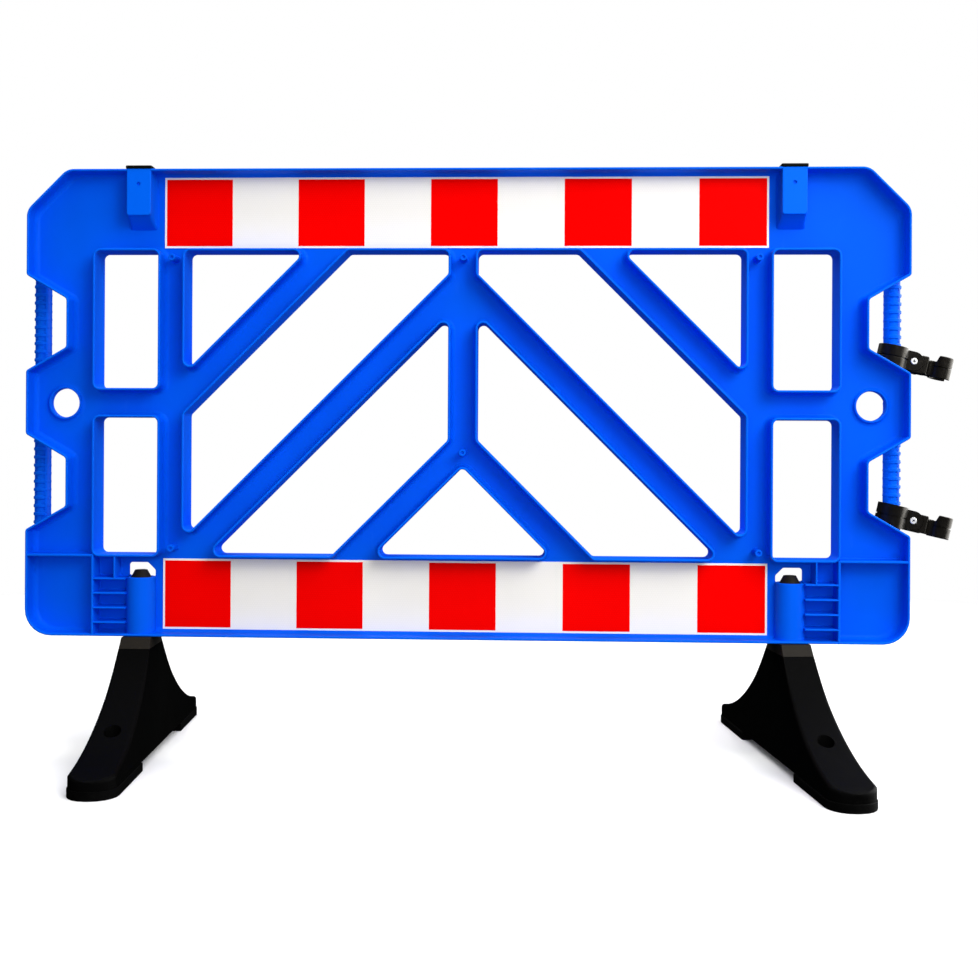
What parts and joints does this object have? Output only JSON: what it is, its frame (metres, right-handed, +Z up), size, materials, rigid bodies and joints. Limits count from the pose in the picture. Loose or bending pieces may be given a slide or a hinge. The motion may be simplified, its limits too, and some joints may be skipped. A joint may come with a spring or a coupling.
{
  "type": "pedestrian barrier panel",
  "caption": "Blue moulded plastic pedestrian barrier with an open diagonal lattice, red and white reflective strips, swivelling black feet and hinged linking clips.",
  "frame": {"origin": "on the floor, under the middle of the panel and on the middle plane of its rim", "axes": "+X along the panel to the end with the clips, +Y from the front to the back, +Z up"},
  "size_m": [1.6017, 0.6354, 1.0053],
  "materials": {
    "blue_hdpe": "satin moulded",
    "white_sheeting": "retroreflective sheet",
    "red_film": "retroreflective film",
    "black_plastic": "satin moulded",
    "foot_plastic": "grained moulded",
    "charcoal_plastic": "matt moulded",
    "sole_rubber": "matt rubber",
    "rivet_steel": "bright plated"
  },
  "bodies": {
    "panel": {"barrier_panel": "blue_hdpe", "top_front_strip": "white_sheeting", "top_front_blocks": "red_film", "top_rear_strip": "white_sheeting", "top_rear_blocks": "red_film", "bottom_front_strip": "white_sheeting", "bottom_front_blocks": "red_film", "bottom_rear_strip": "white_sheeting", "bottom_rear_blocks": "red_film"},
    "left_foot": {"left_foot": "foot_plastic", "left_spigot": "charcoal_plastic", "left_front_sole": "sole_rubber", "left_rear_sole": "sole_rubber"},
    "right_foot": {"right_foot": "foot_plastic", "right_spigot": "charcoal_plastic", "right_front_sole": "sole_rubber", "right_rear_sole": "sole_rubber"},
    "left_plug": {"left_socket_plug": "black_plastic"},
    "right_plug": {"right_socket_plug": "black_plastic"},
    "upper_clip": {"upper_clamp_front": "black_plastic", "upper_clamp_rear": "black_plastic", "upper_rivet": "rivet_steel"},
    "upper_hook": {"upper_hook": "black_plastic"},
    "lower_clip": {"lower_clamp_front": "black_plastic", "lower_clamp_rear": "black_plastic", "lower_rivet": "rivet_steel"},
    "lower_hook": {"lower_hook": "black_plastic"}
  },
  "joints": [
    {"name": "left_foot_swivel", "type": "hinge", "parent": "panel", "child": "left_foot", "pos_m": [-0.556, 0, 0.2], "axis": [0, 0, 1], "continuous": true},
    {"name": "right_foot_swivel", "type": "hinge", "parent": "panel", "child": "right_foot", "pos_m": [0.556, 0, 0.2], "axis": [0, 0, 1], "continuous": true},
    {"name": "left_plug_lift", "type": "slide", "parent": "panel", "child": "left_plug", "axis": [0, 0, 1], "range_m": [0, 0.06]},
    {"name": "right_plug_lift", "type": "slide", "parent": "panel", "child": "right_plug", "axis": [0, 0, 1], "range_m": [0, 0.06]},
    {"name": "upper_clip_swing", "type": "hinge", "parent": "panel", "child": "upper_clip", "pos_m": [0.738, 0.04189, 0.6856], "axis": [0, 0, 1], "range_deg": [-45, 170]},
    {"name": "upper_hook_pivot", "type": "hinge", "parent": "upper_clip", "child": "upper_hook", "pos_m": [0.77113, 0.04189, 0.67795], "axis": [0, -1, 0], "range_deg": [0, 50]},
    {"name": "lower_clip_swing", "type": "hinge", "parent": "panel", "child": "lower_clip", "pos_m": [0.738, 0.04189, 0.4126], "axis": [0, 0, 1], "range_deg": [-45, 170]},
    {"name": "lower_hook_pivot", "type": "hinge", "parent": "lower_clip", "child": "lower_hook", "pos_m": [0.77113, 0.04189, 0.40495], "axis": [0, -1, 0], "range_deg": [0, 50]}
  ]
}
